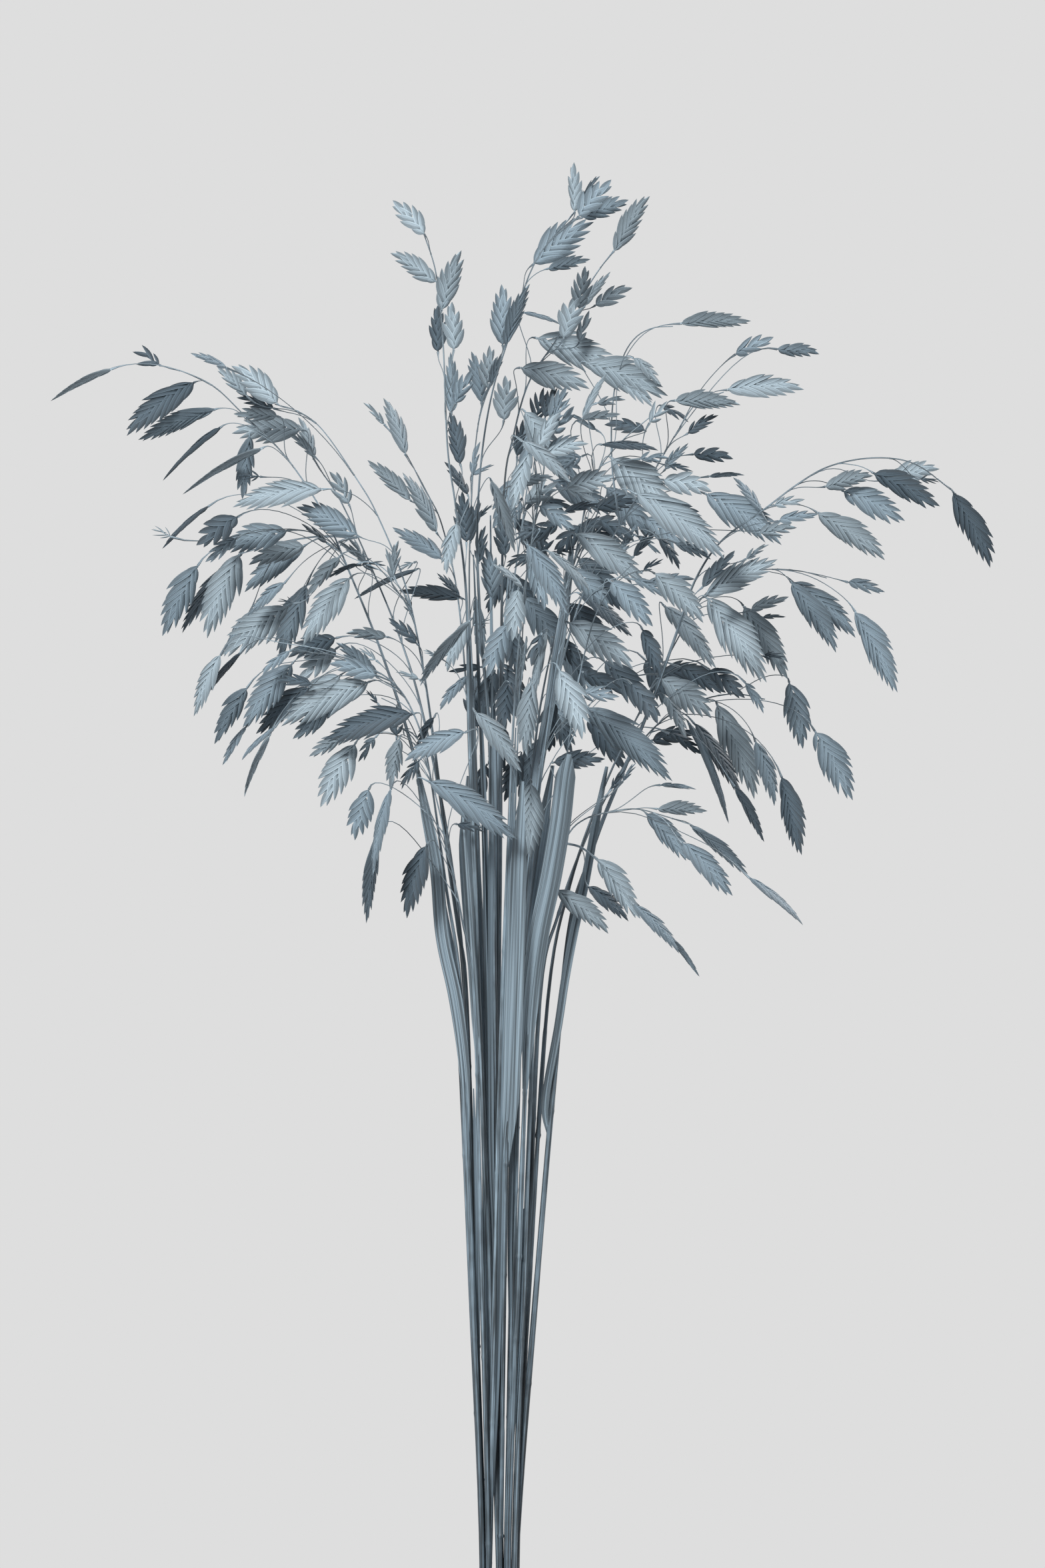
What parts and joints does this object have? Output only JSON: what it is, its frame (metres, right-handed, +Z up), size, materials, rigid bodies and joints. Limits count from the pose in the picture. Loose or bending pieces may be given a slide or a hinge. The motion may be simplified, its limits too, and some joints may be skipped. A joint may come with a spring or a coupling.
{
  "type": "potted northern sea oats",
  "caption": "Ornamental grass with thin upright culms that fan out into a loose head of flat drooping spikelets, standing in soil in a plain round pot.",
  "frame": {"origin": "middle of the pot's flat underside", "axes": "+Z up along the pot's axis and the stems, -Y towards the side that the picture shows, +X to its right"},
  "size_m": [0.354, 0.2303, 0.6915],
  "materials": {
    "stoneware": "matte, unglazed, fine speckle",
    "soil": "rough, crumbly",
    "dry_grass": "dry, satin, finely striped along its length"
  },
  "bodies": {
    "root": {"pot": "stoneware", "soil": "soil", "culm_left_low": "dry_grass", "culm_left_high": "dry_grass", "culm_left_long": "dry_grass", "culm_left_back": "dry_grass", "culm_left_front": "dry_grass", "culm_upright_left": "dry_grass", "culm_upright_centre": "dry_grass", "culm_back_left": "dry_grass", "culm_back_centre": "dry_grass", "culm_front": "dry_grass", "culm_centre_front": "dry_grass", "culm_top": "dry_grass", "culm_upper_right": "dry_grass", "culm_front_right": "dry_grass", "culm_right_centre": "dry_grass", "culm_right_high": "dry_grass", "culm_back_right": "dry_grass", "culm_back_far": "dry_grass", "culm_right_low": "dry_grass", "culm_right_long": "dry_grass", "culm_right_mid": "dry_grass", "culm_right_back": "dry_grass"}
  },
  "joints": []
}
